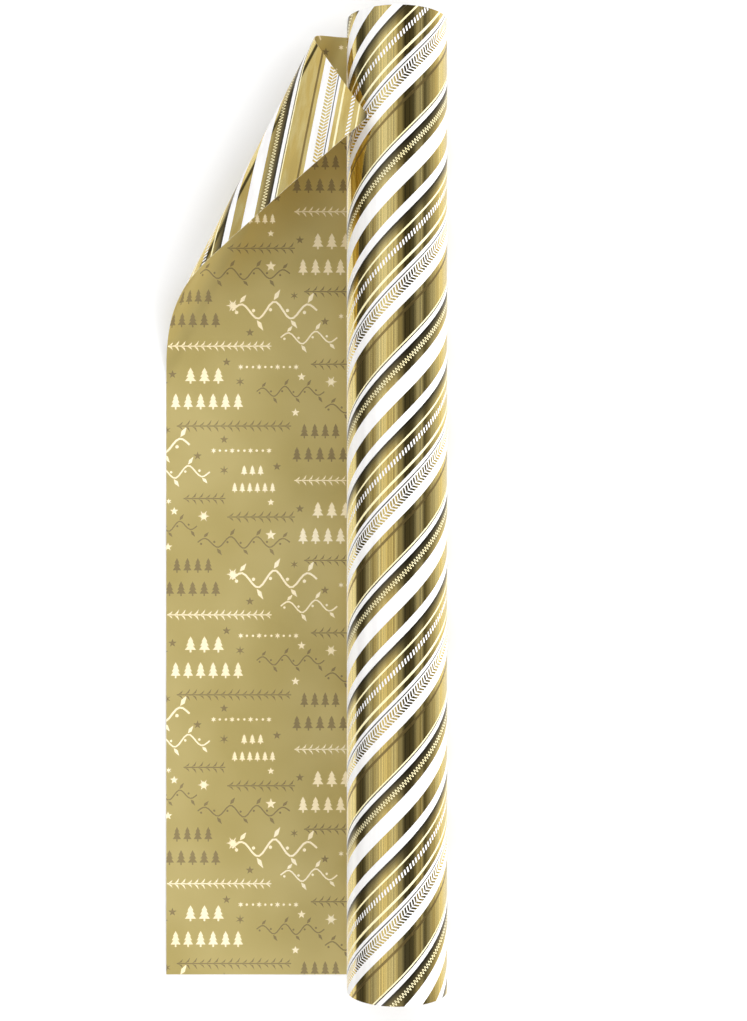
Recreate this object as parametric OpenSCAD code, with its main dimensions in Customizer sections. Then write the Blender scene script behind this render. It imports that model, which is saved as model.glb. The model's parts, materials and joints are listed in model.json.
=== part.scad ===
// Jumbo roll of reversible gift wrap, lying on a table.
// The roll's axis runs along Y. Its outer end leaves the roll underneath, lies flat towards -X with the
// matt side up, and curls back at one corner, so that the foil side shows there.

/* [Roll] */
// Width of the paper web, which is the length of the roll
roll_len = 762; // [450:2:1000]
// Outside diameter of the wound roll
roll_d = 79; // [64:1:110]

/* [Core tube] */
// Bore of the cardboard core, which a dispenser rod passes through
core_bore_d = 54; // [36:1:56]
// Thickness of one ply of the core, which has an inner, a middle and an outer ply
ply_t = 0.5; // [0.3:0.1:0.8]
// Width of the double-sided tape that starts the web on the core
tape_w = 19; // [12:1:25]
// Thickness of that tape
tape_t = 0.2; // [0.1:0.05:0.4]

/* [Loose sheet] */
// Distance from the line under the roll's axis to the sheet's free edge
sheet_reach = 187; // [175:1:260]
// Thickness of the paper
paper_t = 0.3; // [0.2:0.05:0.5]
// Distance from that line to the edge of the stretch that travels with the roll
takeoff_reach = 22; // [14:1:30]

/* [Curled corner] */
// Length of the sheet's end edge that lifts with the corner
curl_across = 150; // [100:1:160]
// Length of the sheet's free edge that lifts with the corner
curl_along = 288; // [200:1:350]
// Outside radius of the tight curl
curl_r = 22; // [14:0.5:30]
// Radius of the slight bow that the flap keeps beyond the curl
flap_bow_r = 600; // [300:10:1500]
// Width left at the corner's very tip
tip_w = 0.8; // [0.4:0.1:3]
// Least gap between the folded flap and the roll under it
flap_gap = 6; // [2:0.1:20]

/* [Fits] */
// Clearance between pieces of paper that move apart
move_gap = 0.3; // [0.2:0.05:0.6]

/* [Hidden] */
$fn = 180;

// Extra length that a cut runs past the surface it goes through
cut = 1;
// Largest angle between neighbouring rows of the tight curl, and distance between rows of the flap
row_angle = 4;
row_step = 8;
// The turn of the curl is found between these two angles, by halving the span this many times
turn_least = 91;
turn_most = 176;
turn_halvings = 18;

roll_r = roll_d / 2;
half_len = roll_len / 2;
core_r = core_bore_d / 2;
core_od_r = core_r + 3 * ply_t;

// The origin is under the middle of the whole outline, on the table
axis_x = (sheet_reach - roll_r) / 2;
edge_x = axis_x - sheet_reach;

// The strip under the roll stops where its top edge is move_gap from the roll's surface
strip_end = sqrt(pow(roll_r + move_gap, 2) - pow(roll_r - paper_t, 2));

// The curl starts along a slanting line from the free edge to the end edge. All of its rows are parallel
// to that line. "along" points up the line, "out" points square to it, away from the corner.
start_len = norm([curl_across, curl_along]);
along = [curl_across, curl_along] / start_len;
out = [curl_along, -curl_across] / start_len;
start_point = [edge_x, half_len - curl_along];
// Distance from that line to the corner over the flat sheet, and where its foot falls on the line
tip_u = curl_across * curl_along / start_len;
tip_foot = curl_along * curl_along / start_len;
last_u = tip_u * (1 - tip_w / start_len);

// Angle that the sheet has turned through at distance u past the start line
function turned(u, turn) =
    let (tight = curl_r * turn * PI / 180)
    u <= 0 ? 0
    : u < tight ? u / curl_r * 180 / PI
    : turn + (u - tight) / flap_bow_r * 180 / PI;

// Where the sheet's outer face is there: the distance along "out", and the height
function rolled(u, turn) =
    let (angle = turned(u, turn))
    u <= 0 ? [-u, 0]
    : angle < turn ? [-curl_r * sin(angle), curl_r * (1 - cos(angle))]
    : [-curl_r * sin(turn) - flap_bow_r * (sin(angle) - sin(turn)),
       curl_r * (1 - cos(turn)) + flap_bow_r * (cos(turn) - cos(angle))];

// A point of the curled sheet: u past the start line, at distance t along it, and depth into the paper
function paper_point(u, t, depth, turn) =
    let (
        angle = turned(u, turn),
        place = rolled(u, turn) + depth * [sin(angle), cos(angle)],
        level = start_point + t * along + place[0] * out
    )
    [level[0], level[1], place[1]];

// Where the row at u meets the sheet's free edge and its end edge
function row_low(u) = tip_foot * u / tip_u;
function row_high(u) = start_len - (start_len - tip_foot) * u / tip_u;

// Distance from the roll's surface to a point
function roll_clearance(p) = norm([p[0] - axis_x, p[2] - roll_r]) - roll_r;

// Least distance from the flap's end edge to the roll, for one turn of the curl
function flap_clearance(turn) =
    min([for (i = [0:24])
        let (u = last_u * i / 24)
        turned(u, turn) < 60 ? roll_r
        : roll_clearance(paper_point(u, row_high(u), paper_t, turn))]);

// The corner falls back until the flap is flap_gap from the roll
function found_turn(low, high, steps) =
    let (middle = (low + high) / 2)
    steps == 0 ? middle
    : flap_clearance(middle) > flap_gap ? found_turn(middle, high, steps - 1)
    : found_turn(low, middle, steps - 1);

curl_turn = found_turn(turn_least, turn_most, turn_halvings);
tight_u = curl_r * curl_turn * PI / 180;

// The sheet hinges a quarter and three quarters of the way round the curl
first_hinge_u = tight_u / 4;
second_hinge_u = tight_u * 3 / 4;

// Rows from one distance to another, close together in the tight curl
function rows_between(from, to, step) =
    let (count = max(1, ceil((to - from) / step)))
    [for (i = [0:count]) from + (to - from) * i / count];
tight_step = curl_r * row_angle * PI / 180;

// A closed strip of paper through the given rows
module paper_strip(rows) {
    points = [for (u = rows)
        each [
            paper_point(u, row_low(u), 0, curl_turn),
            paper_point(u, row_high(u), 0, curl_turn),
            paper_point(u, row_high(u), paper_t, curl_turn),
            paper_point(u, row_low(u), paper_t, curl_turn)
        ]];
    last = len(rows) - 1;
    walls = [for (i = [0:last - 1], side = [0:3])
        let (next = (side + 1) % 4)
        [4 * i + side, 4 * i + next, 4 * i + 4 + next, 4 * i + 4 + side]];
    ends = [[3, 2, 1, 0], [4 * last, 4 * last + 1, 4 * last + 2, 4 * last + 3]];
    polyhedron(points = points, faces = concat(walls, ends), convexity = 4);
}

// A cylinder along Y on the roll's axis
module along_roll(r, length) {
    translate([axis_x, 0, roll_r])
        rotate([90, 0, 0])
            cylinder(r = r, h = length, center = true);
}

module roll_tube(inner, outer) {
    difference() {
        along_roll(outer, roll_len);
        along_roll(inner, roll_len + 2 * cut);
    }
}

// The tape lies along the top of the core, under the first turn of the web
module tape_shape(length) {
    intersection() {
        difference() {
            along_roll(core_od_r + tape_t, length);
            along_roll(core_od_r, length + 2 * cut);
        }
        translate([axis_x - tape_w / 2, -length, roll_r])
            cube([tape_w, 2 * length, roll_r]);
    }
}

module core_inner_ply() {
    color("#b79a72")
        roll_tube(core_r, core_r + ply_t);
}

module core_middle_ply() {
    color("#a88a63")
        roll_tube(core_r + ply_t, core_r + 2 * ply_t);
}

module core_outer_ply() {
    color("#c2a67d")
        roll_tube(core_r + 2 * ply_t, core_od_r);
}

module starter_tape() {
    color("#e9e4d4")
        tape_shape(roll_len);
}

module wound_paper() {
    color("#d8b65a")
        difference() {
            roll_tube(core_od_r, roll_r);
            tape_shape(roll_len + 2 * cut);
        }
}

module takeoff_strip() {
    color("#b8a462")
        translate([axis_x - takeoff_reach, -half_len, 0])
            cube([takeoff_reach - strip_end, roll_len, paper_t]);
}

// The flat outline stops at the line where the corner starts to lift
module free_sheet() {
    sheet_end = axis_x - takeoff_reach - move_gap;
    color("#b8a462")
        linear_extrude(paper_t)
            polygon([
                [edge_x, -half_len],
                [sheet_end, -half_len],
                [sheet_end, half_len],
                [edge_x + curl_across, half_len],
                start_point
            ]);
}

// The first quarter of the curl stays with the flat sheet, because the corner hinges beyond it
module curl_root() {
    color("#b8a462")
        paper_strip(rows_between(0, first_hinge_u - move_gap / 2, tight_step));
}

module corner_curl() {
    color("#e6c66e")
        paper_strip(rows_between(first_hinge_u + move_gap / 2, second_hinge_u - move_gap / 2, tight_step));
}

module corner_flap() {
    color("#e6c66e")
        paper_strip(concat(
            rows_between(second_hinge_u + move_gap / 2, tight_u, tight_step),
            rows_between(tight_u + row_step, last_u, row_step)
        ));
}

core_inner_ply();
core_middle_ply();
core_outer_ply();
starter_tape();
wound_paper();
takeoff_strip();
free_sheet();
curl_root();
corner_curl();
corner_flap();
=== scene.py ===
# %% [markdown]
# # A roll of reversible foil gift wrap
# Gift wrap is a long web of paper wound on a cardboard core. This one is reversible. One face is gold foil
# with diagonal stripes, the other is matt gold with a scatter of winter motifs in cream and taupe.
# The solid model already knows where everything is, so this script loads it first and takes every place and
# size from it. What is left to make is what the eye enjoys: the print, the foil, the thin edges of the paper
# and the bare board of the core.

# %% Load the solid model
import json
import math

import bpy
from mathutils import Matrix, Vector, noise
from mathutils.geometry import delaunay_2d_cdt


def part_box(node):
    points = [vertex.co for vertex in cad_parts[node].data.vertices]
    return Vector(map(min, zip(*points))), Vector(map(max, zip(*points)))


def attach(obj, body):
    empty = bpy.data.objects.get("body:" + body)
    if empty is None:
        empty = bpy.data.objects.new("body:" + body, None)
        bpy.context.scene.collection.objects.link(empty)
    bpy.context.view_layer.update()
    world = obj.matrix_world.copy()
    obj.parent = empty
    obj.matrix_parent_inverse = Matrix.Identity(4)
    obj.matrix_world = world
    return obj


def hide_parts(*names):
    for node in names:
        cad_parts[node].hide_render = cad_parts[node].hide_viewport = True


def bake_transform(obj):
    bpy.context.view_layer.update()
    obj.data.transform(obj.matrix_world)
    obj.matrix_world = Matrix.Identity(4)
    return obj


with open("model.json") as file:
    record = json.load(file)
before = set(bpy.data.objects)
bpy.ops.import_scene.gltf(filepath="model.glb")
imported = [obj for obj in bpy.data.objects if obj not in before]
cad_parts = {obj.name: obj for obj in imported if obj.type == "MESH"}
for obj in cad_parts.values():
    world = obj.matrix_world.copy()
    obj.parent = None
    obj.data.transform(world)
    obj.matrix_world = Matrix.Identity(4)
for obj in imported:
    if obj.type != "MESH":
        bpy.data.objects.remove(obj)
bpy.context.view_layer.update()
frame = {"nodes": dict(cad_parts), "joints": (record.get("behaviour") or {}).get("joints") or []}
MM = 0.001
SAME_PLACE_MM = 0.01
print("solid model:", sorted(frame["nodes"]))

# %% [markdown]
# ## Where things are
# The roll lies along Y. I measure its radius and its axis from the box of the wound paper. Flat lengths on
# the web are in millimetres, with x = 0 on the line where the paper leaves the roll, and only the last step
# turns them to metres.

# %% Measure the roll
roll_low, roll_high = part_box("wound_paper")
AXIS_X = (roll_low.x + roll_high.x) / 2
AXIS_Z = (roll_low.z + roll_high.z) / 2
ROLL_R = (roll_high.z - roll_low.z) / 2 / MM
HALF_LENGTH = roll_high.y / MM
TURN_LENGTH = 2 * math.pi * ROLL_R
print(f"roll: radius {ROLL_R:.1f} mm, length {2 * HALF_LENGTH:.0f} mm, one turn {TURN_LENGTH:.0f} mm")

# %% Measure the loose sheet
FREE_EDGE = (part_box("free_sheet")[0].x - AXIS_X) / MM
STRIP_EDGE = (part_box("takeoff_strip")[0].x - AXIS_X) / MM
CAD_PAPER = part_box("takeoff_strip")[1].z / MM
corners = [v.co for v in frame["nodes"]["free_sheet"].data.vertices]
LIFT_LOW = max(c.y / MM for c in corners if abs((c.x - AXIS_X) / MM - FREE_EDGE) < SAME_PLACE_MM)
LIFT_RIGHT = min((c.x - AXIS_X) / MM for c in corners if abs(c.y / MM - HALF_LENGTH) < SAME_PLACE_MM)
JOINTS = {joint["name"]: joint for joint in frame["joints"]}
TRAVEL = JOINTS["roll_travel"]["range_m"][1] / MM
print(f"sheet: free edge at {FREE_EDGE:.0f} mm, and it can lengthen by {TRAVEL:.0f} mm")

# %% [markdown]
# ## The camera
# The camera looks straight down with a lens of about 50 mm, so the roll runs up the frame and its ends bulge
# a little in perspective. It comes first, because it decides how fine the detail must be.

# %% Camera
CAMERA_HEIGHT = 1.2
CAMERA_BESIDE_AXIS = -0.0185
CAMERA_ALONG = -0.0037
LENS_MM = 52.0


def add_object(name, data):
    """A new object in the scene that shows this data."""
    shown = bpy.data.objects.new(name, data)
    bpy.context.collection.objects.link(shown)
    return shown


camera_data = bpy.data.cameras.new("camera")
camera_data.lens = LENS_MM
camera = add_object("camera", camera_data)
camera.location = (AXIS_X + CAMERA_BESIDE_AXIS, CAMERA_ALONG, CAMERA_HEIGHT)
bpy.context.scene.camera = camera
bpy.context.scene.view_settings.view_transform = "Standard"
print("camera looks down from", tuple(round(c, 3) for c in camera.location))

# %% [markdown]
# ## Colour and nodes
# Colours are easiest to choose as sRGB hex values, as on a paint chart. The renderer works in linear light,
# so one function converts them. The others add shader nodes, and every material below is built from them.

# %% Colour and node helpers
def linear(hex_colour):
    """An sRGB hex colour as linear RGBA."""
    parts = [int(hex_colour[i:i + 2], 16) / 255 for i in (1, 3, 5)]
    return [p / 12.92 if p <= 0.04045 else ((p + 0.055) / 1.055) ** 2.4 for p in parts] + [1.0]


def set_inputs(tree, node, inputs):
    """Sets a node's inputs. Each is either a value or another node's output socket."""
    for name, value in inputs.items():
        if isinstance(value, bpy.types.NodeSocket):
            tree.links.new(value, node.inputs[name])
        else:
            node.inputs[name].default_value = value


def add_node(tree, kind, settings=None, inputs=None):
    """A new node with its settings and its inputs."""
    node = tree.nodes.new(kind)
    for name, value in (settings or {}).items():
        setattr(node, name, value)
    set_inputs(tree, node, inputs or {})
    return node


def new_material(name):
    """An empty node material and its tree, with the Principled shader wired to the output."""
    material = bpy.data.materials.new(name)
    material.use_nodes = True
    tree = material.node_tree
    return material, tree, tree.nodes["Principled BSDF"]


def blend_colours(tree, factor, first, second):
    """A socket that holds a mix of two colours."""
    mix = add_node(tree, "ShaderNodeMix", {"data_type": "RGBA"}, {0: factor, 6: first, 7: second})
    return mix.outputs[2]


def ramp(tree, value, low, high, to_low=0.0, to_high=1.0):
    """A socket that holds value, moved from one range to another and clamped."""
    node = add_node(tree, "ShaderNodeMapRange", inputs={
        "Value": value, "From Min": low, "From Max": high, "To Min": to_low, "To Max": to_high})
    return node.outputs["Result"]


print("white paint chip in linear light:", [round(c, 3) for c in linear("#F4F2EE")])

# %% [markdown]
# ## The foil face
# The foil is a polyester film with a layer of aluminium a few hundred atoms thick, lacquered yellow so that
# it looks like gold, and glued to the paper. It is a true metal to the eye, so Metallic is 1 and its colour
# is the colour of its reflections. It is never flat: winding pulls it into faint ridges that run along the
# roll, a few millimetres apart, and they break the reflections into streaks. The ridges are a noise stretched
# along Y, and the thin inks follow them. One ink is a charcoal halftone that thins out until the foil shows.
# Each point of the mesh carries how much of it lies there, in an attribute named ink_depth.

# %% Foil materials
RIDGE_SPACING_MM = 7.0
RIDGE_STRETCH = 0.012
SPECK_MM = 0.9


def ridges(tree, strength):
    """A bump socket for the foil's faint ridges, and the noise behind it."""
    place = add_node(tree, "ShaderNodeTexCoord").outputs["Object"]
    stretched = add_node(tree, "ShaderNodeMapping", inputs={"Vector": place, "Scale": (1, RIDGE_STRETCH, 1)})
    ridge = add_node(tree, "ShaderNodeTexNoise", inputs={
        "Vector": stretched.outputs["Vector"], "Scale": 1 / (RIDGE_SPACING_MM * MM), "Detail": 3.0,
        "Roughness": 0.55})
    speck = add_node(tree, "ShaderNodeTexNoise", inputs={
        "Vector": place, "Scale": 1 / (SPECK_MM * MM), "Detail": 1.0})
    height = add_node(tree, "ShaderNodeMath", {"operation": "MULTIPLY_ADD"}, {
        0: speck.outputs["Fac"], 1: 0.02, 2: ridge.outputs["Fac"]})
    bump = add_node(tree, "ShaderNodeBump", inputs={
        "Strength": strength, "Distance": 0.4 * MM, "Height": height.outputs["Value"]})
    return bump.outputs["Normal"], ridge.outputs["Fac"]


def ink_on_film(name, hex_low, hex_high, metallic, roughness):
    """Gravure ink on the film: it covers the metal, and still follows its ridges a little."""
    material, tree, shader = new_material(name)
    normal, ridge = ridges(tree, 0.10)
    colour = blend_colours(tree, ramp(tree, ridge, 0.35, 0.65), linear(hex_low), linear(hex_high))
    set_inputs(tree, shader, {
        "Base Color": colour, "Metallic": metallic, "Roughness": roughness, "Normal": normal,
        "Specular IOR Level": 0.45})
    return material


# The deeper gold between the ridges is a painted reflection of light bounced twice, not the film's own
# colour.
def film_gold_with_painted_reflection(tree, ridge):
    """The film's gold with a painted reflection: paler on the ridges, and a deeper, more saturated gold
    between them, where light bounces twice.
    """
    return blend_colours(tree, ramp(tree, ridge, 0.40, 0.62), linear("#EDD07C"), linear("#F7E197"))


film, tree, shader = new_material("gold_metallised_film")
normal, ridge = ridges(tree, 0.09)
set_inputs(tree, shader, {
    "Base Color": film_gold_with_painted_reflection(tree, ridge), "Metallic": 1.0, "Normal": normal,
    "Roughness": ramp(tree, ridge, 0.3, 0.7, 0.06, 0.10)})
halftone, tree, shader = new_material("charcoal_halftone_on_film")
normal, ridge = ridges(tree, 0.09)
depth = add_node(tree, "ShaderNodeAttribute", {"attribute_name": "ink_depth"}).outputs["Fac"]
set_inputs(tree, shader, {
    "Base Color": blend_colours(tree, depth, film_gold_with_painted_reflection(tree, ridge), linear("#454341")), "Metallic": 1.0,
    "Normal": normal, "Roughness": ramp(tree, depth, 0.0, 1.0, 0.12, 0.35)})
FOIL_INKS = {
    "gold": film,
    "white": ink_on_film("white_gravure_ink", "#F1EFEE", "#FBFAF8", 0.0, 0.34),
    "cream": ink_on_film("cream_gravure_ink", "#FFF1B8", "#FFF6CC", 0.0, 0.36),
    "dark": ink_on_film("charcoal_gravure_ink", "#3A3734", "#4A4745", 0.5, 0.38),
    "brown": ink_on_film("brown_gravure_ink", "#A48C55", "#B39A60", 0.9, 0.30),
    "fade": halftone,
}
print("foil face:", sorted(FOIL_INKS))

# %% [markdown]
# ## The matt face
# The other face is uncoated paper, flooded with a matt gold ink made of fine metal flakes. The flakes lie at
# all angles, so it glows softly and shows no reflections. Under it the paper's fibres make a fine tooth, and
# the flood coat is a little uneven over a hand's width.

# %% Matt face materials
FIBRE_MM = 0.7
CLOUD_MM = 90.0


def paper_tooth(tree, strength):
    """A bump socket for the paper's fibres, and a slow cloud over the sheet."""
    place = add_node(tree, "ShaderNodeTexCoord").outputs["Object"]
    fibre = add_node(tree, "ShaderNodeTexNoise", inputs={
        "Vector": place, "Scale": 1 / (FIBRE_MM * MM), "Detail": 3.0})
    cloud = add_node(tree, "ShaderNodeTexNoise", inputs={
        "Vector": place, "Scale": 1 / (CLOUD_MM * MM), "Detail": 2.0})
    bump = add_node(tree, "ShaderNodeBump", inputs={
        "Strength": strength, "Distance": 0.06 * MM, "Height": fibre.outputs["Fac"]})
    return bump.outputs["Normal"], cloud.outputs["Fac"], fibre.outputs["Fac"]


def matt_ink(name, hex_low, hex_high, metallic, roughness):
    """Matt ink on uncoated paper."""
    material, tree, shader = new_material(name)
    normal, cloud, fibre = paper_tooth(tree, 0.5)
    broad = blend_colours(tree, ramp(tree, cloud, 0.36, 0.64), linear(hex_low), linear(hex_high))
    colour = blend_colours(tree, ramp(tree, fibre, 0.3, 0.75, 0.0, 0.16), broad, linear(hex_high))
    set_inputs(tree, shader, {
        "Base Color": colour, "Metallic": metallic, "Roughness": roughness, "Normal": normal,
        "Specular IOR Level": 0.35})
    return material


MATT_INKS = {
    "flood": matt_ink("matt_gold_flake_ink", "#CCB974", "#DCCA88", 0.5, 0.44),
    "cream": matt_ink("matt_cream_ink", "#FDEBC0", "#FFF3D2", 0.0, 0.6),
    "taupe": matt_ink("matt_taupe_ink_and_painted_groove_shade", "#8F7E56", "#9A895F", 0.2, 0.55),
}
print("matt face:", sorted(MATT_INKS))

# %% [markdown]
# ## Bare board, tape and cut edges
# The core is wound from grey recycled board, which shows short fibres. The tape is clear film with an acrylic
# glue. The cut edge of the wrap is the white base paper, seen end on.

# %% Board, tape and edge materials
BOARD, tree, shader = new_material("recycled_core_board")
normal, cloud, fibre = paper_tooth(tree, 0.8)
broad = blend_colours(tree, ramp(tree, cloud, 0.35, 0.65), linear("#A99275"), linear("#B9A384"))
colour = blend_colours(tree, ramp(tree, fibre, 0.55, 0.8, 0.0, 0.6), broad, linear("#7F6B52"))
set_inputs(tree, shader, {
    "Base Color": colour, "Roughness": 0.85, "Normal": normal, "Specular IOR Level": 0.3})

EDGE, tree, shader = new_material("bleached_base_paper")
normal, cloud, fibre = paper_tooth(tree, 0.6)
colour = blend_colours(tree, ramp(tree, fibre, 0.35, 0.7), linear("#D6CDB6"), linear("#E9E1CC"))
set_inputs(tree, shader, {"Base Color": colour, "Roughness": 0.75, "Normal": normal})

TAPE, tree, shader = new_material("clear_polypropylene_tape")
normal, cloud, fibre = paper_tooth(tree, 0.15)
colour = blend_colours(tree, ramp(tree, cloud, 0.3, 0.7), linear("#DDD3AE"), linear("#E8DFBE"))
set_inputs(tree, shader, {"Base Color": colour, "Roughness": 0.18, "Normal": normal})
print("made", BOARD.name, EDGE.name, TAPE.name)

# %% [markdown]
# ## Print as cut shapes
# A printed picture could be laid on the paper as an image. Here the print is drawn as flat polygons instead,
# and the paper itself is cut along their outlines, so each ink is a set of faces with its own finish, and
# its edges stay sharp from any distance. Blender's constrained triangulation does the cutting, and says which
# polygons each triangle lies in.

# %% Cut an outline along its print
MERGE_MM = 1e-5
KEEP_ALL_TRIANGLES = 0


def signed_area(polygon):
    """Twice the polygon's area, negative if it runs clockwise."""
    return sum(a[0] * b[1] - b[0] * a[1] for a, b in zip(polygon, polygon[1:] + polygon[:1]))


def lay_out(outline, top=(), under=(), folds=(), top_base="flood", under_base="gold"):
    """Cuts the outline along each (ink, polygon) of both faces and along each fold line. Returns the flat
    points and a list of (corner numbers, (top ink, under ink)). A later polygon lies over an earlier one."""
    points, faces, owners = [Vector(p) for p in outline], [list(range(len(outline)))], [None]
    for face, shapes in enumerate((top, under)):
        for ink, polygon in shapes:
            first = len(points)
            points.extend(Vector(p) for p in (polygon if signed_area(polygon) > 0 else polygon[::-1]))
            faces.append(list(range(first, len(points))))
            owners.append((face, ink))
    edges = []
    for start, end in folds:
        edges.append((len(points), len(points) + 1))
        points += [Vector(start), Vector(end)]
    result = delaunay_2d_cdt(points, edges, faces, KEEP_ALL_TRIANGLES, MERGE_MM, True)
    flat = [(p.x, p.y) for p in result[0]]
    cells = []
    for triangle, sources in zip(result[2], result[5]):
        if 0 not in sources:
            continue
        inks = [top_base, under_base]
        for source in sorted(sources):
            if owners[source]:
                inks[owners[source][0]] = owners[source][1]
        turn = signed_area([flat[i] for i in triangle])
        cells.append((list(triangle) if turn > 0 else list(reversed(triangle)), tuple(inks)))
    return flat, cells

# %% Fold lines
PAST_EDGE_MM = 5


def steps(low, high, pitch):
    """Evenly spaced levels strictly between low and high."""
    count = max(1, round((high - low) / pitch))
    return [low + (high - low) * i / count for i in range(1, count)]


def folds_up(places, low, high):
    """Straight fold lines at these x places, from y = low to y = high."""
    return [((x, low), (x, high)) for x in places]


square = lay_out([(0, 0), (10, 0), (10, 10), (0, 10)], folds=folds_up(steps(0, 10, 3), -1, 11))
print("a 10 mm square folded every 3 mm:", len(square[1]), "cells")

# %% [markdown]
# ## From flat cells to a thin closed sheet
# A sheet of paper has two faces and an edge. The next function places every corner twice, once on the top
# face and once on the under face, and closes the rim between them with narrow walls. The shading normal of
# each corner comes from the curved surface itself, not from its small flat cells, so the foil reflects
# smoothly. Such normals are fixed for good, so a sheet that stretches as it moves does without them.

# %% The way out of a curved sheet
NORMAL_STEP_MM = 0.05
SHARP_ANGLE = math.radians(30)


def surface_normal(place, p):
    """The direction straight out of the top face at the flat point p."""
    step = NORMAL_STEP_MM
    side = place(p[0] + step, p[1], 1) - place(p[0] - step, p[1], 1)
    up = place(p[0], p[1] + step, 1) - place(p[0], p[1] - step, 1)
    return side.cross(up).normalized()


flat_normal = surface_normal(lambda x, y, face: Vector((x, y, face)), (0, 0))
print("a flat sheet looks along", tuple(round(c, 3) for c in flat_normal))

# %% Build a sheet
def build_sheet(name, flat, cells, place, inks, edge=EDGE, depth=None, stretches=False):
    """A closed thin mesh. place(x, y, face) gives a corner in metres, with face 1 on top and 0 under it, and
    depth(x, y), if given, says how much ink lies there. A sheet that stretches gets no fixed normals."""
    used = sorted({i for row, _ in cells for i in row})
    number = {old: new for new, old in enumerate(used)}
    flat = [flat[i] for i in used]
    rows = [([number[i] for i in row], pair) for row, pair in cells]
    count = len(flat)
    names = sorted({ink for _, pair in rows for ink in pair})
    faces, slots, directed = [], [], set()
    for row, pair in rows:
        faces += [row, [i + count for i in reversed(row)]]
        slots += [names.index(pair[0]), names.index(pair[1])]
        directed.update(zip(row, row[1:] + row[:1]))
    rim = sorted((a, b) for a, b in directed if (b, a) not in directed)
    faces += [[b, a, a + count, b + count] for a, b in rim]
    slots += [len(names)] * len(rim)
    mesh = bpy.data.meshes.new(name)
    points = [place(*p, 1) for p in flat] + [place(*p, 0) for p in flat]
    mesh.from_pydata(points, [], faces)
    for ink in names:
        mesh.materials.append(inks[ink])
    mesh.materials.append(edge)
    mesh.polygons.foreach_set("material_index", slots)
    if depth:
        amount = mesh.attributes.new("ink_depth", "FLOAT", "POINT")
        amount.data.foreach_set("value", [depth(*p) for p in flat] * 2)
    normals = [surface_normal(place, p) for p in flat]
    shading = []
    for row, _ in rows:
        shading += [normals[i] for i in row] + [-normals[i] for i in reversed(row)]
    for a, b in rim:
        wall = (points[b] - points[a]).cross(normals[a]).normalized()
        shading += [wall] * 4
    mesh.shade_smooth()
    if stretches:
        mesh.set_sharp_from_angle(angle=SHARP_ANGLE)
    else:
        mesh.normals_split_custom_set(shading)
    print(f"{name}: {len(rows)} cells, {len(rim)} rim edges")
    return add_object(name, mesh)


def flat_area(flat, cells):
    """The flat area of the cells in square metres."""
    return sum(signed_area([flat[i] for i in row]) for row, _ in cells) / 2 * MM * MM

# %% [markdown]
# ## The stripe print
# One repeat of the stripes is 112 mm wide, and a printing cylinder laid it down again and again. I list each
# band by where it ends, measured across the stripes. Two bands are charcoal fading to clear foil, one carries
# a row of slanted dashes, one a row of foil leaves like an ear of wheat, and one a fine zigzag stitch. The
# small shapes are drawn along a straight line first, with t along the stripes and q across them.

# %% One repeat of the stripes
REPEAT_MM = 112.25
BANDS = [(1.1, "cream"), (1.9, "dark"), (2.0, "gold"), (5.25, "white"), (18.0, "fade"), (28.5, "white"),
         (38.6, "gold"), (44.5, "white"), (52.0, "fade"), (53.3, "cream"), (68.2, "gold"), (70.0, "cream"),
         (73.6, "gold"), (75.9, "white"), (76.8, "dark"), (91.9, "white"), (95.2, "gold"), (97.2, "brown")]
FADES = [(5.25, 18.0, 1.0, 0.05), (44.5, 52.0, 1.0, 0.0)]
DASH_PITCH, DASH_WIDTH, DASH_LEAN, DASH_LOW, DASH_HIGH = 3.1, 1.5, 2.0, 57.4, 60.8
LEAF_PITCH, LEAF_WIDTH, LEAF_LEAN = 2.8, 1.75, 2.3
LEAF_CENTRE, LEAF_GAP, LEAF_REACH = 81.8, 0.12, 3.9
STITCH_PITCH, STITCH_WIDTH, STITCH_LOW, STITCH_HIGH = 1.3, 0.5, 9.5, 13.3


def dash(t):
    return "white", [(t + DASH_LEAN, DASH_LOW), (t + DASH_LEAN + DASH_WIDTH, DASH_LOW),
                     (t + DASH_WIDTH, DASH_HIGH), (t, DASH_HIGH)]


def leaf(t, side):
    near, far = LEAF_CENTRE + LEAF_GAP * side, LEAF_CENTRE + LEAF_REACH * side
    return "gold", [(t, near), (t + LEAF_WIDTH, near), (t + LEAF_WIDTH + LEAF_LEAN, far),
                    (t + LEAF_LEAN, far)]


def stitch(t, rising):
    low, high = (t, t + STITCH_PITCH) if rising else (t + STITCH_PITCH, t)
    return "cream", [(low, STITCH_LOW), (low + STITCH_WIDTH, STITCH_LOW), (high + STITCH_WIDTH, STITCH_HIGH),
                     (high, STITCH_HIGH)]


def band_details(start, end):
    """The small shapes of one repeat, from start to end along the stripes."""
    shapes = [dash(start + i * DASH_PITCH) for i in range(int((end - start) / DASH_PITCH))]
    for i in range(int((end - start) / LEAF_PITCH)):
        shapes += [leaf(start + i * LEAF_PITCH, side) for side in (1, -1)]
    shapes += [stitch(start + i * STITCH_PITCH, i % 2 == 0) for i in range(int((end - start) / STITCH_PITCH))]
    return shapes


print(len(BANDS), "bands in one repeat, and", len(band_details(0, 100)), "small shapes in 100 mm of it")

# %% Lay the stripes over an area
STRIPE_MARGIN_MM = 10
SHAPE_MARGIN_MM = 2


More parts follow.
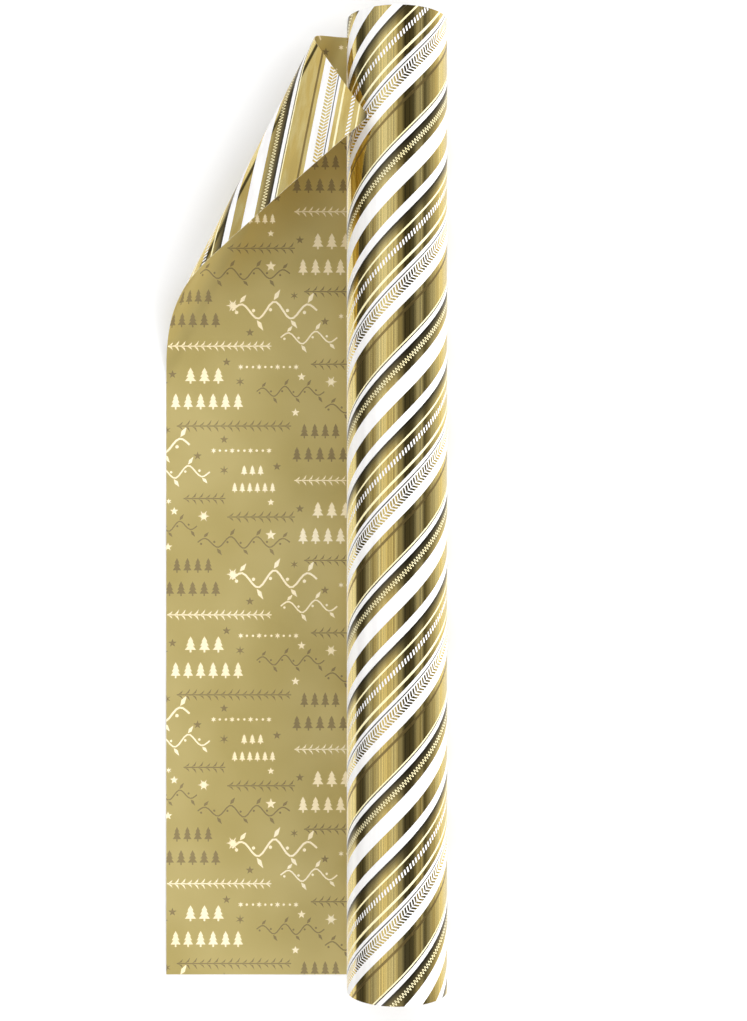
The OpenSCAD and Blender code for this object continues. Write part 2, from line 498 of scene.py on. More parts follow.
def stripe_print(area, angle, phase, details=True):
    """The (ink, polygon) list that covers area = (x0, y0, x1, y1), with stripes rising at angle. Without
    details it leaves out the dashes, leaves and stitches."""
    along = Vector((math.cos(angle), math.sin(angle)))
    down = Vector((math.sin(angle), -math.cos(angle)))
    centre = Vector(((area[0] + area[2]) / 2, (area[1] + area[3]) / 2))
    reach = math.hypot(area[2] - area[0], area[3] - area[1]) / 2 + STRIPE_MARGIN_MM
    start, end = along.dot(centre) - reach, along.dot(centre) + reach
    across = phase + down.dot(centre)
    first, last = math.floor((across - reach) / REPEAT_MM), math.ceil((across + reach) / REPEAT_MM)
    low_x, low_y = area[0] - SHAPE_MARGIN_MM, area[1] - SHAPE_MARGIN_MM
    high_x, high_y = area[2] + SHAPE_MARGIN_MM, area[3] + SHAPE_MARGIN_MM

    def at(t, q):
        p = along * t + down * (q - phase)
        return (p.x, p.y)

    shapes = []
    for repeat in range(first, last):
        base, before = repeat * REPEAT_MM, 0
        for after, ink in BANDS:
            if ink != "gold":
                shapes.append((ink, [at(start, base + before), at(end, base + before), at(end, base + after),
                                     at(start, base + after)]))
            before = after
        for ink, polygon in band_details(start, end) if details else ():
            placed = [at(t, base + q) for t, q in polygon]
            if low_x < placed[0][0] < high_x and low_y < placed[0][1] < high_y:
                shapes.append((ink, placed))
    return shapes


def ink_depth(x, y, angle, phase):
    """How much charcoal lies at a point: 1 is solid, 0 is clear foil."""
    q = (phase + x * math.sin(angle) - y * math.cos(angle)) % REPEAT_MM
    for low, high, first, last in FADES:
        if low - SAME_PLACE_MM <= q <= high + SAME_PLACE_MM:
            return first + (last - first) * (q - low) / (high - low)
    return 0.0


print(f"ink fades from {ink_depth(0, 0, 0, 5.3):.2f} to {ink_depth(0, 0, 0, 17.9):.2f} over its band")

# %% [markdown]
# ## The outer lap of the roll
# The outer lap is the part everyone sees. Its flat layout is one turn long, and each flat distance becomes
# an angle round the roll. I cut the layout every few degrees so that the printed shapes follow the curve.

# %% Bend a flat point round the roll
ROLL_STRIPE_ANGLE = math.radians(45.5)
ROLL_PHASE = 84.3
PAPER_MM = 0.2
ROLL_SEGMENTS = 60


def round_roll(x, y, face):
    """x is the distance round the roll from its top, and y the place along it."""
    radius = ROLL_R - (0 if face else PAPER_MM)
    angle = x / ROLL_R
    return Vector((AXIS_X + radius * MM * math.sin(angle), y * MM, AXIS_Z + radius * MM * math.cos(angle)))


print("top of the roll:", tuple(round(c, 4) for c in round_roll(0, 0, 1)))

# %% Wrap the outer lap
HALF_TURN = TURN_LENGTH / 2
FOLD_REACH = HALF_LENGTH + PAST_EDGE_MM
lap_box = (-HALF_TURN, -HALF_LENGTH, HALF_TURN, HALF_LENGTH)
lap_outline = [lap_box[:2], (HALF_TURN, -HALF_LENGTH), lap_box[2:], (-HALF_TURN, HALF_LENGTH)]
lap_folds = folds_up(steps(-HALF_TURN, HALF_TURN, TURN_LENGTH / ROLL_SEGMENTS), -FOLD_REACH, FOLD_REACH)
lap_flat, lap_cells = lay_out(lap_outline, top=stripe_print(lap_box, ROLL_STRIPE_ANGLE, ROLL_PHASE),
                              folds=lap_folds, top_base="gold", under_base="flood")
ALL_INKS = {**FOIL_INKS, "flood": MATT_INKS["flood"], "matt_cream": MATT_INKS["cream"],
            "taupe": MATT_INKS["taupe"]}
outer_lap = build_sheet("outer_lap", lap_flat, lap_cells, round_roll, ALL_INKS,
                        depth=lambda x, y: ink_depth(x, y, ROLL_STRIPE_ANGLE, ROLL_PHASE))
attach(outer_lap, "roll")

# %% [markdown]
# ## The wound laps under it
# From the end, a roll shows the edges of all its laps as one long spiral. The real pitch is a tenth of a
# millimetre, too fine to see, so I draw it fifteen times coarser. Each lap is a band of white paper edges
# with a sunken groove beside it, and the narrow outer slope of each groove is painted taupe as painted shade
# between the laps. No winder lays every lap flush, so each stands a hair further in or out.
# The mesh is closed: two spiral ends, joined by the bore and by the outside.

# %% Where the paper edges lie
LAP_PITCH_MM = 1.35
GROOVE_MM = 0.4
GROOVE_SHARE = 0.7
LAP_WANDER_MM = 0.25
WANDER_PER_MM = 1.7
WANDER_BETWEEN_ENDS = 5.0
LAP_SEGMENTS = 96
LAP_CLEARANCE_MM = 0.05
WEB_INNER_R = (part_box("core_outer_ply")[1].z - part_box("core_outer_ply")[0].z) / 2 / MM
WEB_OUTER_R = ROLL_R - PAPER_MM - LAP_CLEARANCE_MM
laps = int((WEB_OUTER_R - WEB_INNER_R) / LAP_PITCH_MM) - 1
lap_pitch = (WEB_OUTER_R - WEB_INNER_R) / (laps + 1)


def spiral_point(step, is_groove, end):
    """A point on the spiral of paper edges, step segments out from the core, at end +1 or -1."""
    radius = WEB_INNER_R + lap_pitch * (step / LAP_SEGMENTS + (GROOVE_SHARE if is_groove else 0))
    angle = 2 * math.pi * step / LAP_SEGMENTS
    wander = noise.noise(Vector((radius * WANDER_PER_MM, end * WANDER_BETWEEN_ENDS, 0.0))) * LAP_WANDER_MM
    y = end * (HALF_LENGTH - LAP_WANDER_MM + wander - (GROOVE_MM if is_groove else 0))
    return Vector((AXIS_X + radius * MM * math.sin(angle), y * MM, AXIS_Z + radius * MM * math.cos(angle)))


print(f"the web fills {WEB_INNER_R:.1f} to {WEB_OUTER_R:.1f} mm with {laps} laps, {lap_pitch:.2f} mm apart")

# %% Wind the laps
total = laps * LAP_SEGMENTS
points, faces, slots, base = [], [], [], {}
for end in (1, -1):
    for is_groove in (False, True):
        base[end, is_groove] = len(points)
        rows = total + 1 if is_groove else total + LAP_SEGMENTS + 1
        points += [spiral_point(step, is_groove, end) for step in range(rows)]


def add_face(corners, flipped, slot):
    """A face of the web from (end, is_groove, step) corners."""
    face = [base[end, is_groove] + step for end, is_groove, step in corners]
    faces.append(face[::-1] if flipped else face)
    slots.append(slot)


for end in (1, -1):
    for step in range(total):
        inner, groove, outer = (end, False, step), (end, True, step), (end, False, step + LAP_SEGMENTS)
        # Slot 1, the taupe ink on the outer slope of each groove, is painted shade between the laps.
        for near, far, slot in ((inner, groove, 0), (groove, outer, 1)):
            add_face([near, far, far[:2] + (far[2] + 1,), near[:2] + (near[2] + 1,)], end > 0, slot)
inner_loop = [(False, step) for step in range(LAP_SEGMENTS + 1)] + [(True, 0)]
outer_loop = [(False, total + step) for step in range(LAP_SEGMENTS + 1)] + [(True, total)]
for loop, is_inside in ((inner_loop, True), (outer_loop, False)):
    for a, b in zip(loop, loop[1:] + loop[:1]):
        add_face([(1, *a), (1, *b), (-1, *b), (-1, *a)], is_inside, 0)
mesh = bpy.data.meshes.new("wound_laps")
mesh.from_pydata(points, [], faces)
mesh.materials.append(EDGE)
# The taupe ink on the web's ends is painted shade in the grooves between laps, not a print.
mesh.materials.append(MATT_INKS["taupe"])
mesh.polygons.foreach_set("material_index", slots)
mesh.shade_smooth()
mesh.set_sharp_from_angle(angle=SHARP_ANGLE)
wound_web = add_object("wound_laps", mesh)
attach(wound_web, "roll")
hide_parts("wound_paper")
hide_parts("wound_paper")
print("wound laps:", len(wound_web.data.polygons), "faces")

# %% [markdown]
# ## The core
# A core winder wraps strips of board round a steel bar at a slant, one strip over another. Their edges meet
# in a butt seam that climbs the tube like the stripe of a barber's pole, and no two plies have their seams
# together. I cut each strip flat, as the real one is, and wind it with the same sheet builder. The tape that
# starts the web on the core keeps the shape that the solid model gives it.

# %% Measure the board
SEAM_SLOPE = math.radians(35)
SEAM_GAP_MM = 0.5
PLY_SEGMENTS = 60
inner_ply = frame["nodes"]["core_inner_ply"].data.vertices
inner_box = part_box("core_inner_ply")
BORE_R = min(math.hypot(v.co.x - AXIS_X, v.co.z - AXIS_Z) for v in inner_ply) / MM
PLY_MM = (inner_box[1].z - inner_box[0].z) / 2 / MM - BORE_R
print(f"bore radius {BORE_R:.1f} mm, board {PLY_MM:.2f} mm thick")

# %% Wind the three plies
def wind_ply(node, seam_start):
    """One helical strip of board that stands for a ply of the core."""
    low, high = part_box(node)
    outer = (high.z - low.z) / 2 / MM
    inner = outer - PLY_MM
    turn, slope = 2 * math.pi * outer, math.tan(SEAM_SLOPE)
    lower = -HALF_LENGTH - seam_start * (turn * slope)
    upper = lower + turn * slope - SEAM_GAP_MM / math.cos(SEAM_SLOPE)
    outline = [((y - edge) / slope, y) for y, edge in ((-HALF_LENGTH, upper), (-HALF_LENGTH, lower),
                                                       (HALF_LENGTH, lower), (HALF_LENGTH, upper))]
    bends = steps(outline[0][0], outline[2][0], turn / PLY_SEGMENTS)
    flat, cells = lay_out(outline, folds=folds_up(bends, -FOLD_REACH, FOLD_REACH), top_base="board",
                          under_base="board")

    def place(x, y, face):
        radius = (outer if face else inner) * MM
        angle = x / outer
        return Vector((AXIS_X + radius * math.sin(angle), y * MM, AXIS_Z + radius * math.cos(angle)))

    ply = build_sheet(node.replace("core_", "board_"), flat, cells, place, {"board": BOARD}, edge=BOARD)
    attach(ply, "roll")
    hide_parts(node)
    return ply


plies = [wind_ply(node, start) for node, start in
         (("core_inner_ply", 0.0), ("core_middle_ply", 0.4), ("core_outer_ply", 0.7))]
tape = frame["nodes"]["starter_tape"]
tape.data.materials.clear()
tape.data.materials.append(TAPE)
print(f"core: {len(plies)} plies of {PLY_MM:.2f} mm board")

# %% [markdown]
# ## Winter motifs for the matt face
# The matt face carries a loose pattern of small pictures in cream and taupe: stars, snow bursts, rows of
# firs, leaf sprigs, beaded lines and leafy vines. Each is a short function that returns polygons round the
# origin. A cell of the pattern repeats every 104 mm across, dropped by half each time.

# %% Stars and bursts
def star(width, height, points=5, waist=0.42):
    """A star as one polygon."""
    rim = [(width / 2 * (waist if i % 2 else 1), math.pi / 2 + math.pi * i / points)
           for i in range(2 * points)]
    return [[(radius * math.cos(angle), radius * math.sin(angle)) for radius, angle in rim]]


def frost_star(width, height):
    return star(width, height, 6, 0.3)


def snow_burst(width, height):
    """Twelve fine rays, every second one short."""
    rays = []
    for i in range(12):
        angle = math.pi * i / 6
        long_ray = width / 2 * (1 if i % 2 == 0 else 0.62)
        side = width * 0.06
        out, across = (math.cos(angle), math.sin(angle)), (-math.sin(angle), math.cos(angle))
        rays.append([(out[0] * r + across[0] * s, out[1] * r + across[1] * s) for r, s in
                     ((0, 0), (long_ray * 0.45, -side), (long_ray, 0), (long_ray * 0.45, side))])
    return rays

# %% Firs, sprigs, beads and vines
FIR_TIERS = ((-0.34, -0.08, 1.0), (-0.08, 0.17, 0.78), (0.17, 0.5, 0.55))


def fir_row(width, height):
    """A row of small fir trees of three tiers."""
    count = max(2, round(width / (height * 0.78)))
    pitch = width / count
    trees = []
    for i in range(count):
        x, half = -width / 2 + pitch * (i + 0.5), pitch * 0.40
        tree = [(x - half * 0.16, -0.5), (x + half * 0.16, -0.5), (x + half * 0.16, -0.34)]
        for low, high, wide in FIR_TIERS:
            tree += [(x + half * wide, low), (x + half * wide * (0.42 if high < 0.5 else 0), high)]
        for low, high, wide in reversed(FIR_TIERS):
            tree += [(x - half * wide * 0.42, high)] if high < 0.5 else []
            tree += [(x - half * wide, low)]
        tree += [(x - half * 0.16, -0.34)]
        trees.append([(a, b * height) for a, b in tree])
    return trees


def sprig_row(width, height):
    """A straight stem with slanted pairs of leaves."""
    stem = height * 0.045
    parts = [[(-width / 2, -stem), (width / 2, -stem), (width / 2, stem), (-width / 2, stem)]]
    count = max(3, round(width / (height * 0.6)))
    pitch = width / count
    for i in range(count):
        x = -width / 2 + pitch * (i + 0.15)
        for side in (1, -1):
            top = side * height * (0.5 if i % 3 else 0.36)
            parts.append([(x, side * stem), (x + pitch * 0.30, side * stem + top * 0.30),
                          (x + pitch * 0.72, top), (x + pitch * 0.52, side * stem + top * 0.16)])
    return parts


def bead_line(width, height):
    """A line of beads with small frost stars between them."""
    count = max(5, round(width / (height * 0.62)))
    pitch = width / count
    parts = []
    for i in range(count):
        x = -width / 2 + pitch * (i + 0.5)
        size, points, waist = (0.26, 3, 1.0) if i % 3 else (0.62, 6, 0.38)
        parts.append([(a + x, b) for a, b in star(height * size, 0, points, waist)[0]])
    return parts


def vine(width, height):
    """A waving stem with a leaf and a berry at each bend."""
    bends = max(4, round(width / (height * 0.46)))
    steps_each, thick = 5, height * 0.024

    def stem(t):
        fade = math.sin(math.pi * min(1, max(0, t / bends)))
        return (-width / 2 + width * t / bends, height * 0.22 * math.sin(math.pi * t) * (0.55 + 0.45 * fade))

    line = [stem(i / steps_each) for i in range(bends * steps_each + 1)]
    offsets = []
    for i, p in enumerate(line):
        a, b = line[max(0, i - 1)], line[min(len(line) - 1, i + 1)]
        length = math.hypot(b[0] - a[0], b[1] - a[1])
        offsets.append((-(b[1] - a[1]) / length * thick, (b[0] - a[0]) / length * thick))
    parts = []
    for i in range(len(line) - 1):
        (px, py), (qx, qy), (ox, oy), (ux, uy) = line[i], line[i + 1], offsets[i], offsets[i + 1]
        parts.append([(px - ox, py - oy), (qx - ux, qy - uy), (qx + ux, qy + uy), (px + ox, py + oy)])
    for i in range(bends):
        x, y = stem(i + 0.5)
        side = 1 if i % 2 == 0 else -1
        tall, wide = height * (0.30 if i % 3 else 0.24), width / bends
        parts.append([(x - wide * 0.05, y + side * thick * 1.5), (x + wide * 0.22, y + side * tall * 0.35),
                      (x + wide * 0.34, y + side * tall), (x + wide * 0.02, y + side * tall * 0.62)])
        berry = star(height * 0.09, 0, 3, 1.0)[0]
        parts.append([(a + x - wide * 0.24, b + y - side * height * 0.20) for a, b in berry])
    return parts


MOTIFS = {"star": star, "star6": frost_star, "burst": snow_burst, "trees": fir_row, "sprigs": sprig_row,
          "chain": bead_line, "vine": vine}
print("motifs:", {name: len(make(50, 20)) for name, make in MOTIFS.items()})

# %% One cell of the pattern
CELL = [
    ("star", "cream", -102, 195, 9, 9), ("vine", "taupe", -124, 189, 75, 22),
    ("burst", "cream", -133, 163, 11, 10), ("vine", "cream", -99, 159, 69, 33),
    ("vine", "cream", -71, 137, 46, 24), ("star6", "taupe", -83, 171, 7, 7),
    ("star", "taupe", -119, 141, 7, 7), ("star", "taupe", -58, 150, 7, 7),
    ("star", "taupe", -138, 117, 7, 7), ("star", "taupe", -182, 107, 7, 7),
    ("star", "taupe", -140, 54, 7, 7), ("star", "taupe", -97, 32, 7, 7),
    ("star6", "taupe", -127, 101, 8, 8), ("star6", "taupe", -140, 29, 8, 8),
    ("sprigs", "cream", -144, 130, 85, 9), ("chain", "cream", -104, 113, 50, 8),
    ("trees", "cream", -156, 106, 34, 13), ("trees", "cream", -154, 85, 61, 13),
    ("vine", "taupe", -86, 93, 55, 20), ("star", "cream", -77, 105, 7, 7), ("star", "cream", -82, 76, 7, 7),
    ("burst", "cream", -53, 101, 10, 9), ("sprigs", "taupe", -132, 65, 93, 10),
    ("trees", "taupe", -62, 61, 34, 12), ("trees", "taupe", -62, 42, 47, 12),
    ("chain", "cream", -126, 45, 50, 8), ("trees", "cream", -117, 29, 20, 8),
    ("trees", "cream", -116, 15, 37, 8), ("sprigs", "taupe", -156, 6, 34, 10),
    ("sprigs", "taupe", -110, -9, 55, 10), ("star", "cream", -102, 3, 6, 6),
]
CELL_ACROSS = (103.6, -109.3)
CELL_UP = (0.0, 218.6)
CELL_INK = {"cream": "matt_cream", "taupe": "taupe"}
CELLS_ACROSS, CELLS_UP = range(-3, 6), range(-6, 7)
MOTIF_MARGIN_MM = 20


def motif_print(area):
    """The (ink, polygon) list of the matt face over area = (x0, y0, x1, y1)."""
    shapes = []
    low_y, high_y = area[1] - MOTIF_MARGIN_MM, area[3] + MOTIF_MARGIN_MM
    for across in CELLS_ACROSS:
        for up in CELLS_UP:
            dx = CELL_ACROSS[0] * across + CELL_UP[0] * up
            dy = CELL_ACROSS[1] * across + CELL_UP[1] * up
            for kind, ink, x, y, width, height in CELL:
                cx, cy = x + dx, y + dy
                if area[0] - width / 2 < cx < area[2] + width / 2 and low_y < cy < high_y:
                    shapes += [(CELL_INK[ink], [(a + cx, b + cy) for a, b in polygon])
                               for polygon in MOTIFS[kind](width, height)]
    return shapes


print(len(motif_print((FREE_EDGE, -HALF_LENGTH, 0, HALF_LENGTH))), "polygons on the open sheet")

# %% [markdown]
# ## The loose sheet
# The sheet lies on the table from its free edge to the roll. Gift wrap never lies quite flat, so it has low
# waves, which die out where it is held. As the roll travels it pays out one more turn of paper, so the last
# 22 mm before the roll carry the print of that whole turn, squeezed. They are hidden under the roll at rest.
# The squeeze undoes a stretch that follows a smooth step, and a search by halves finds it.

# %% Squeeze the last stretch
HALVINGS = 40
start_line = Vector((LIFT_RIGHT - FREE_EDGE, HALF_LENGTH - LIFT_LOW)).normalized()
start_out = Vector((start_line.y, -start_line.x))


def smooth(t):
    t = min(1.0, max(0.0, t))
    return t * t * (3 - 2 * t)


def squeezed(x):
    """Where the paper that ends up at x lies at rest."""
    if x <= STRIP_EDGE:
        return x
    low, high = STRIP_EDGE, 0.0
    for _ in range(HALVINGS):
        middle = (low + high) / 2
        if middle + TRAVEL * smooth((middle - STRIP_EDGE) / -STRIP_EDGE) < x:
            low = middle
        else:
            high = middle
    return (low + high) / 2


print(f"the extra turn, half way: {squeezed(TRAVEL / 2):.1f} mm from the roll's line")

# %% Place the loose sheet
SHEET_STRIPE_ANGLE = math.radians(42.0)
SHEET_PHASE = 2.4
WAVE_MM = 0.7
WAVE_LENGTH_MM = 120.0
WAVE_RISE = 0.55
WAVE_SEED = 3.0
HELD_MM = 50
THINNEST_MM = 0.04


def from_start_line(x, y):
    """Distances out from the start line of the curl, and along it."""
    offset = Vector((x - FREE_EDGE, y - LIFT_LOW))
    return -offset.dot(start_out), offset.dot(start_line)


def wave(x, y):
    """The height of the sheet's low waves, in mm."""
    swell = noise.noise(Vector((x / WAVE_LENGTH_MM, y / WAVE_LENGTH_MM, WAVE_SEED))) + WAVE_RISE
    held = smooth((STRIP_EDGE - x) / HELD_MM) * smooth(-from_start_line(x, y)[0] / HELD_MM)
    return WAVE_MM * max(0.0, swell) * held


def lying(x, y, face):
    """x is the distance from the roll along the paper, negative towards the free edge."""
    rest_x = squeezed(x)
    room = ROLL_R - math.sqrt(max(0.0, ROLL_R ** 2 - rest_x ** 2)) if rest_x > STRIP_EDGE else PAPER_MM
    height = wave(rest_x, y) + (min(PAPER_MM, max(THINNEST_MM, room)) if face else 0)
    return Vector((AXIS_X + rest_x * MM, y * MM, height * MM))


print("middle of the free edge:", tuple(round(c, 4) for c in lying(FREE_EDGE, 0, 1)))

# %% Build the loose sheet
OPEN_FOLD_MM, PAID_OUT_FOLD_MM, CROSS_FOLD_MM = 33, 18, 42
panel_box = (FREE_EDGE, -HALF_LENGTH, TRAVEL, HALF_LENGTH)
panel_outline = [(FREE_EDGE, -HALF_LENGTH), (TRAVEL, -HALF_LENGTH), (TRAVEL, HALF_LENGTH),
                 (LIFT_RIGHT, HALF_LENGTH), (FREE_EDGE, LIFT_LOW)]
bends = steps(FREE_EDGE, STRIP_EDGE, OPEN_FOLD_MM) + [STRIP_EDGE]
bends += steps(STRIP_EDGE, TRAVEL, PAID_OUT_FOLD_MM)
panel_folds = folds_up(bends, -FOLD_REACH, FOLD_REACH)
panel_folds += [((FREE_EDGE - PAST_EDGE_MM, y), (TRAVEL + PAST_EDGE_MM, y))
                for y in steps(-HALF_LENGTH, HALF_LENGTH, CROSS_FOLD_MM)]
panel_bands = stripe_print(panel_box, SHEET_STRIPE_ANGLE, SHEET_PHASE, details=False)
panel_flat, panel_cells = lay_out(panel_outline, motif_print(panel_box), panel_bands, panel_folds)


def sheet_depth(x, y):
    return ink_depth(x, y, SHEET_STRIPE_ANGLE, SHEET_PHASE)


loose_sheet = build_sheet("loose_sheet", panel_flat, panel_cells, lying, ALL_INKS, depth=sheet_depth,
                          stretches=True)
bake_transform(loose_sheet)
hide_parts("free_sheet", "takeoff_strip")

# %% [markdown]
# ## The curled corner
# Paper bends in one direction at a time, so a curled corner is a piece of a cylinder: all its straight lines
# stay straight and run side by side. Beyond the tight part the corner springs into a wide, almost flat bow.
# The solid model opens this curl at two hinges, so the turn is split into two halves.

# %% Measure the curl
def hinge_turn(name):
    """How far the paper has turned at a hinge, and the hinge's distance back from the start line, in mm."""
    place = Vector(JOINTS[name]["pos_m"]) / MM
    back = from_start_line(place.x - AXIS_X / MM, place.y)[0]
    return 2 * math.atan2(place.z - CAD_PAPER / 2, back), back


first_turn, first_back = hinge_turn("curl_open")
CURL_R = first_back / math.sin(first_turn) + CAD_PAPER / 2
FULL_TURN = 4 * first_turn
TIGHT_MM = CURL_R * FULL_TURN
BOW_R = 600.0
print(f"curl: radius {CURL_R:.1f} mm, {math.degrees(FULL_TURN):.1f} degrees, {TIGHT_MM:.1f} mm of paper")

# %% Place the curl
def curl_path(distance):
    """The paper's turn, its way back from the start line and its height, at a distance into the curl."""
    tight = min(distance, TIGHT_MM)
    turn = tight / CURL_R
    back, height = CURL_R * math.sin(turn), CURL_R * (1 - math.cos(turn))
    if distance > TIGHT_MM:
        end_turn = turn + (distance - TIGHT_MM) / BOW_R
        back += BOW_R * (math.sin(end_turn) - math.sin(turn))
        height += BOW_R * (math.cos(turn) - math.cos(end_turn))
        turn = end_turn
    return turn, back, height


def curled(x, y, face):
    """A corner of the curl. The matt face is on the inside."""
    distance, along = from_start_line(x, y)
    turn, back, height = curl_path(distance)
    inward = PAPER_MM if face else 0
    out = -back + inward * math.sin(turn)
    up = height + inward * math.cos(turn)
    flat = Vector((FREE_EDGE, LIFT_LOW)) + start_line * along + start_out * out
    return Vector((AXIS_X + flat.x * MM, flat.y * MM, up * MM))


print("tip of the folded corner:", tuple(round(c, 4) for c in curled(FREE_EDGE, HALF_LENGTH, 0)))

# %% Build the two halves of the curl
corner_outline = [(FREE_EDGE, LIFT_LOW), (LIFT_RIGHT, HALF_LENGTH), (FREE_EDGE, HALF_LENGTH)]
corner_box = (FREE_EDGE, LIFT_LOW, LIFT_RIGHT, HALF_LENGTH)
CORNER_REACH = from_start_line(FREE_EDGE, HALF_LENGTH)[0]
CURL_STEP_MM, BOW_STEP_MM = 2.0, 9.0
CREASE_FROM_MM, CREASE_TO_MM = -10, 340
middle = TIGHT_MM / 2
levels = steps(0, middle, CURL_STEP_MM) + [middle] + steps(middle, TIGHT_MM, CURL_STEP_MM) + [TIGHT_MM]
levels += steps(TIGHT_MM, CORNER_REACH, BOW_STEP_MM)
start_corner = Vector((FREE_EDGE, LIFT_LOW))
corner_folds = [(start_corner - start_out * level + start_line * CREASE_FROM_MM,
                 start_corner - start_out * level + start_line * CREASE_TO_MM) for level in levels]
corner_bands = stripe_print(corner_box, SHEET_STRIPE_ANGLE, SHEET_PHASE)
corner_flat, corner_cells = lay_out(corner_outline, motif_print(corner_box), corner_bands, corner_folds)
halves = ([], [])
for row, pair in corner_cells:
    centre = sum(from_start_line(*corner_flat[i])[0] for i in row) / len(row)
    halves[centre > middle].append((row, pair))
rising_curl = build_sheet("rising_curl", corner_flat, halves[0], curled, ALL_INKS, depth=sheet_depth)
folded_corner = build_sheet("folded_corner", corner_flat, halves[1], curled, ALL_INKS, depth=sheet_depth)

# %% Bake the two halves and hide the solid model's curl
def on_curl(distance, along):
    """A point of the curled paper, from its distances in the flat."""
    flat = Vector((FREE_EDGE, LIFT_LOW)) + start_line * along - start_out * distance
    return curled(flat.x, flat.y, 0)


along_middle = 130.0
on_curl(0, along_middle)
on_curl(middle, along_middle)
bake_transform(rising_curl)
on_curl(middle, along_middle)
on_curl(TIGHT_MM, along_middle)
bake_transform(folded_corner)
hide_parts("curl_root", "corner_curl")
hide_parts("corner_curl", "corner_flap")
print(f"the curl bends over its first {middle:.1f} mm, then over the next {TIGHT_MM - middle:.1f} mm")

# %% [markdown]
# ## A pale studio
# Foil shows nothing but its surroundings, so the studio matters as much as the paper. Product studios hang a
# long white softbox over one shoulder of the roll, a smaller card over the other, and black cards between
# them, all as long as the roll, so that the reflections run straight along it. I paint that studio on the
# world as a row of greys round the Y axis, and fine slats in the cards make the streaks crisp. The floor and
# the loose sheet are kept out of mirror rays, so that the foil shows the cards alone.

# %% Floor
floor_mesh = bpy.data.meshes.new("floor")
FLOOR_M, FLOOR_DROP = 12.0, 0.0004
floor_corners = [(x * FLOOR_M, y * FLOOR_M, -FLOOR_DROP) for x, y in ((-1, -1), (1, -1), (1, 1), (-1, 1))]
floor_mesh.from_pydata(floor_corners, [], [(0, 1, 2, 3)])
floor = add_object("floor", floor_mesh)
floor_paint, floor_tree, floor_shader = new_material("white_studio_floor")
set_inputs(floor_tree, floor_shader, {"Base Color": linear("#FAFAFA"), "Roughness": 0.8,
                                      "Specular IOR Level": 0.1})
floor_mesh.materials.append(floor_paint)
floor.visible_glossy = False
loose_sheet.visible_glossy = False
print("floor:", 2 * FLOOR_M, "m wide")

# %% Cards round the roll
CARDS = [(-180, 1.0), (-118, 0.95), (-110, 0.70), (-105, 0.10), (-84, 0.06), (-79, 0.12), (-75, 0.26),
         (-62, 0.47), (-58, 0.28), (-54, 0.34), (-50, 0.58), (-33, 0.80), (-22, 0.76), (-12, 0.62), (0, 0.54),
         (3, 0.34), (10, 0.24), (16, 0.06), (36, 0.07), (41, 0.22), (51, 0.42), (60, 0.34), (64, 0.08),
         (68, 0.16), (76, 0.28), (86, 0.44), (96, 0.56), (106, 0.80), (114, 1.0), (180, 1.0)]
STREAKS_ROUND, STREAK_LOW, STREAK_HIGH = 110.0, 0.55, 1.3

world = bpy.data.worlds.new("studio")
bpy.context.scene.world = world
world.use_nodes = True
sky = world.node_tree
sky.nodes.clear()
direction = add_node(sky, "ShaderNodeSeparateXYZ", inputs={
    0: add_node(sky, "ShaderNodeTexCoord").outputs["Generated"]})
angle = add_node(sky, "ShaderNodeMath", {"operation": "ARCTAN2"}, {
    0: direction.outputs["X"], 1: direction.outputs["Z"]})
share = ramp(sky, angle.outputs["Value"], -math.pi, math.pi)
cards = add_node(sky, "ShaderNodeValToRGB", inputs={"Fac": share})
for i, (degrees, grey) in enumerate(CARDS):
    stop = (degrees + 180) / 360
    elements = cards.color_ramp.elements
    element = elements[i] if i < 1 else (elements[-1] if i == len(CARDS) - 1 else elements.new(stop))
    element.position = stop
    element.color = (grey, grey, grey, 1)
slats = add_node(sky, "ShaderNodeTexNoise", {"noise_dimensions": "1D"}, {
    "W": share, "Scale": STREAKS_ROUND, "Detail": 2.0})
slat = ramp(sky, slats.outputs["Fac"], 0.35, 0.65, STREAK_LOW, STREAK_HIGH)
lit = add_node(sky, "ShaderNodeVectorMath", {"operation": "SCALE"}, {
    0: cards.outputs["Color"], "Scale": slat}).outputs["Vector"]
print("studio:", len(CARDS), "cards round the roll")

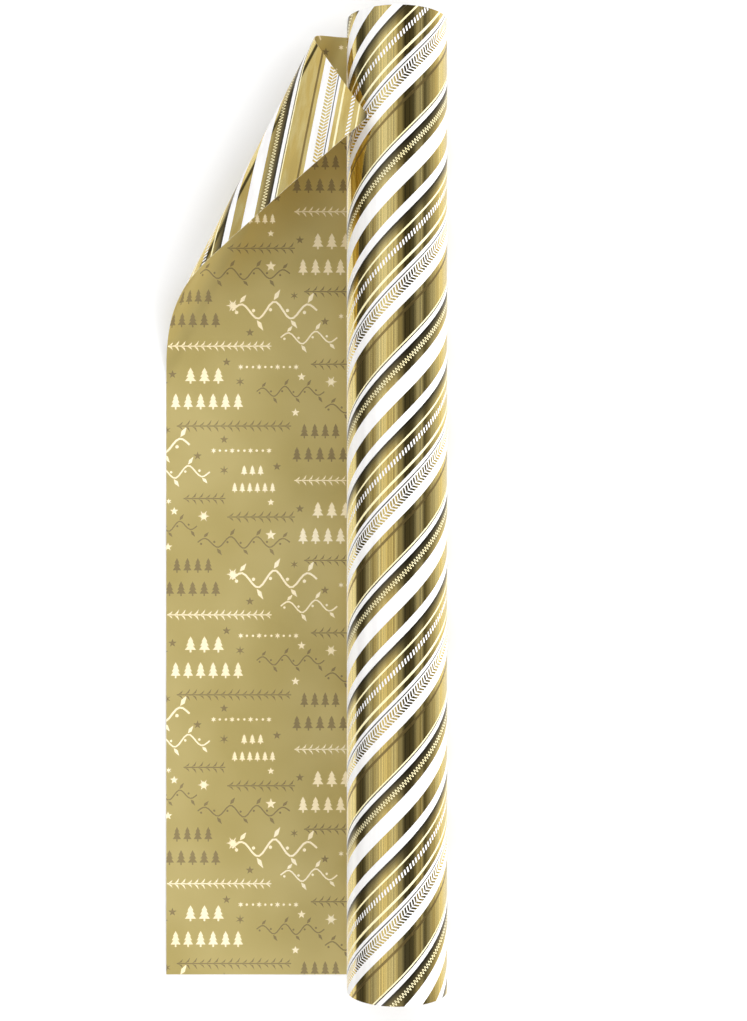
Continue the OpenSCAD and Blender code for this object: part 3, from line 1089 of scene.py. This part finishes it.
# %% [markdown]
# ## Soft light for the paper
# The paper wants what the foil doesn't: broad, even light. White walls stand beyond both ends of the roll,
# dark at their foot, and they shine more for the paper than they show in the foil. A wide window far over
# the right shoulder lights the paper only, so the sheet is palest at its free edge and deepens towards the
# roll. The Light Path node tells these rays apart, and the camera sees plain white behind everything.

# %% Walls, window and backdrop
WALL_LIGHT, WALL_MIRRORED = 3.15, 0.9
WALL_START, WALL_FULL = 0.40, 0.76
WALL_FOOT, WALL_TOP = 0.02, 0.12
WINDOW_LIGHT, WINDOW_START, WINDOW_FULL = 3.2, 0.50, 0.70

ray = add_node(sky, "ShaderNodeLightPath").outputs
sideways = add_node(sky, "ShaderNodeMath", {"operation": "ABSOLUTE"}, {0: direction.outputs["Y"]})
wall = add_node(sky, "ShaderNodeMath", {"operation": "MULTIPLY"}, {
    0: ramp(sky, sideways.outputs["Value"], WALL_START, WALL_FULL),
    1: ramp(sky, direction.outputs["Z"], WALL_FOOT, WALL_TOP)}).outputs["Value"]
wall_light = ramp(sky, ray["Is Diffuse Ray"], 0, 1, WALL_MIRRORED, WALL_LIGHT)
walls = blend_colours(sky, wall, lit, wall_light)
window = add_node(sky, "ShaderNodeMath", {"operation": "MULTIPLY"}, {
    0: ramp(sky, direction.outputs["X"], WINDOW_START, WINDOW_FULL), 1: ray["Is Diffuse Ray"]})
window_light = (WINDOW_LIGHT, WINDOW_LIGHT, WINDOW_LIGHT, 1)
studio = blend_colours(sky, window.outputs["Value"], walls, window_light)
backdrop = blend_colours(sky, ray["Is Camera Ray"], studio, (1, 1, 1, 1))
background = add_node(sky, "ShaderNodeBackground", inputs={"Color": backdrop})
add_node(sky, "ShaderNodeOutputWorld", inputs={"Surface": background.outputs["Background"]})
print(f"walls shine {WALL_LIGHT} on the paper and {WALL_MIRRORED} in the foil")

# %% [markdown]
# The two halves of the curl work out how large they were when flat.
# Last, the view layer is brought up to date.

# %% Flat sizes
flat_area(corner_flat, halves[0])
flat_area(corner_flat, halves[1])

# %% Update the view layer
bpy.context.view_layer.update()
